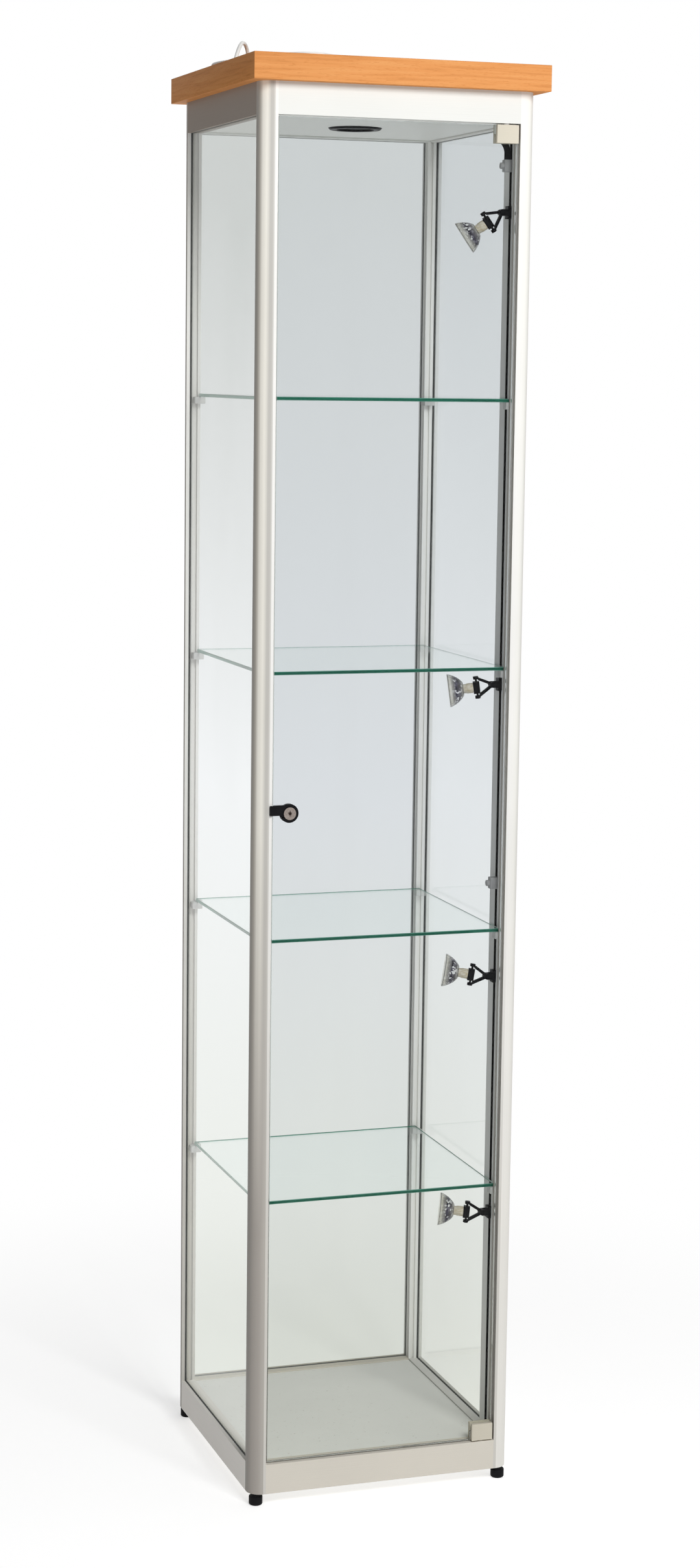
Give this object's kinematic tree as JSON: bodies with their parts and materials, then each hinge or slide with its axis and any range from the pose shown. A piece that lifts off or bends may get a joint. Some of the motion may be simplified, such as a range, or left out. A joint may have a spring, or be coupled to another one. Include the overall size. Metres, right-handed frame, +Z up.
{
  "type": "display cabinet",
  "caption": "Tall square glass display cabinet with aluminium frame, hinged lockable glass door, glass shelves, wooden top board and adjustable spot lamps.",
  "frame": {"origin": "on the floor under the middle of the cabinet", "axes": "+X to the right seen from the front, +Y to the back, +Z up"},
  "size_m": [0.43, 0.43, 2.1017],
  "materials": {
    "frame_aluminium": "satin anodised",
    "clear_glass": "clear, green at the edges",
    "black_plastic": "satin black",
    "steel": "brushed",
    "grey_rubber": "matte",
    "black_rubber": "matte",
    "white_panel": "matte",
    "beech": "satin veneer",
    "clip_metal": "satin",
    "satin_nickel": "satin",
    "grey_plastic": "matte",
    "reflector_glass": "mirrored inside",
    "can_metal": "matte",
    "white_plastic": "smooth",
    "white_cable": "smooth vinyl"
  },
  "bodies": {
    "cabinet": {"post_front_left": "frame_aluminium", "post_front_right": "frame_aluminium", "post_rear_left": "frame_aluminium", "post_rear_right": "frame_aluminium", "base_rail_front": "frame_aluminium", "top_rail_front": "frame_aluminium", "base_rail_right": "frame_aluminium", "top_rail_right": "frame_aluminium", "base_rail_rear": "frame_aluminium", "top_rail_rear": "frame_aluminium", "base_rail_left": "frame_aluminium", "top_rail_left": "frame_aluminium", "glass_left": "clear_glass", "glass_rear": "clear_glass", "glass_right": "clear_glass", "glass_gaskets": "grey_rubber", "floor_panel": "white_panel", "ceiling_panel": "white_panel", "top_board": "beech", "shelf_clips": "clip_metal", "feet": "black_rubber", "shelf_1": "clear_glass", "shelf_2": "clear_glass", "shelf_3": "clear_glass", "shelf_4": "clear_glass", "door_fittings": "steel", "light_track": "frame_aluminium", "track_liner": "black_plastic", "track_clamps": "grey_plastic", "feed_cable": "black_rubber", "lamp_clips": "black_plastic", "downlight_trim": "black_plastic", "downlight_can": "can_metal", "downlight_bulb": "reflector_glass", "transformer": "grey_plastic", "lead_relief": "white_plastic", "mains_lead": "white_cable", "lead_coil": "white_cable", "coil_tie": "black_plastic", "mains_plug": "white_plastic", "plug_pins": "steel"},
    "door": {"door_glass": "clear_glass", "hinge_cap_top": "satin_nickel", "hinge_cap_bottom": "satin_nickel", "lock_body": "black_plastic", "lock_nut": "black_plastic"},
    "lock": {"lock_cylinder": "steel", "lock_cam": "steel"},
    "lamp_1_arm": {"lamp_yoke_1": "black_plastic"},
    "lamp_1_head": {"lamp_holder_1": "black_plastic", "lamp_bulb_1": "reflector_glass"},
    "lamp_2_arm": {"lamp_yoke_2": "black_plastic"},
    "lamp_2_head": {"lamp_holder_2": "black_plastic", "lamp_bulb_2": "reflector_glass"},
    "lamp_3_arm": {"lamp_yoke_3": "black_plastic"},
    "lamp_3_head": {"lamp_holder_3": "black_plastic", "lamp_bulb_3": "reflector_glass"},
    "lamp_4_arm": {"lamp_yoke_4": "black_plastic"},
    "lamp_4_head": {"lamp_holder_4": "black_plastic", "lamp_bulb_4": "reflector_glass"}
  },
  "joints": [
    {"name": "door_hinge", "type": "hinge", "parent": "cabinet", "child": "door", "pos_m": [0.1573, -0.192, 1.016], "axis": [0, 0, 1], "range_deg": [0, 110]},
    {"name": "lock_turn", "type": "hinge", "parent": "door", "child": "lock", "pos_m": [-0.1513, -0.192, 1.013], "axis": [0, 1, 0], "range_deg": [0, 180]},
    {"name": "lamp_1_tilt", "type": "hinge", "parent": "cabinet", "child": "lamp_1_arm", "pos_m": [0.168, -0.153, 1.851], "axis": [0, 1, 0], "range_deg": [-24, 71]},
    {"name": "lamp_1_pan", "type": "hinge", "parent": "lamp_1_arm", "child": "lamp_1_head", "pos_m": [0.14858, -0.153, 1.83689], "axis": [-0.5878, 0, 0.809], "range_deg": [-50, 28]},
    {"name": "lamp_2_tilt", "type": "hinge", "parent": "cabinet", "child": "lamp_2_arm", "pos_m": [0.168, -0.153, 1.1823], "axis": [0, 1, 0], "range_deg": [-49.5, 2]},
    {"name": "lamp_2_pan", "type": "hinge", "parent": "lamp_2_arm", "child": "lamp_2_head", "pos_m": [0.14426, -0.153, 1.17875], "axis": [-0.1478, 0, 0.989], "range_deg": [-50, 28]},
    {"name": "lamp_3_tilt", "type": "hinge", "parent": "cabinet", "child": "lamp_3_arm", "pos_m": [0.168, -0.153, 0.7537], "axis": [0, 1, 0], "range_deg": [-64, 25]},
    {"name": "lamp_3_pan", "type": "hinge", "parent": "lamp_3_arm", "child": "lamp_3_head", "pos_m": [0.1443, -0.153, 0.75745], "axis": [0.1564, 0, 0.9877], "range_deg": [-50, 28]},
    {"name": "lamp_4_tilt", "type": "hinge", "parent": "cabinet", "child": "lamp_4_arm", "pos_m": [0.168, -0.153, 0.3981], "axis": [0, 1, 0], "range_deg": [-60.5, 6.5]},
    {"name": "lamp_4_pan", "type": "hinge", "parent": "lamp_4_arm", "child": "lamp_4_head", "pos_m": [0.14411, -0.153, 0.4004], "axis": [0.0958, 0, 0.9954], "range_deg": [-50, 28]}
  ]
}
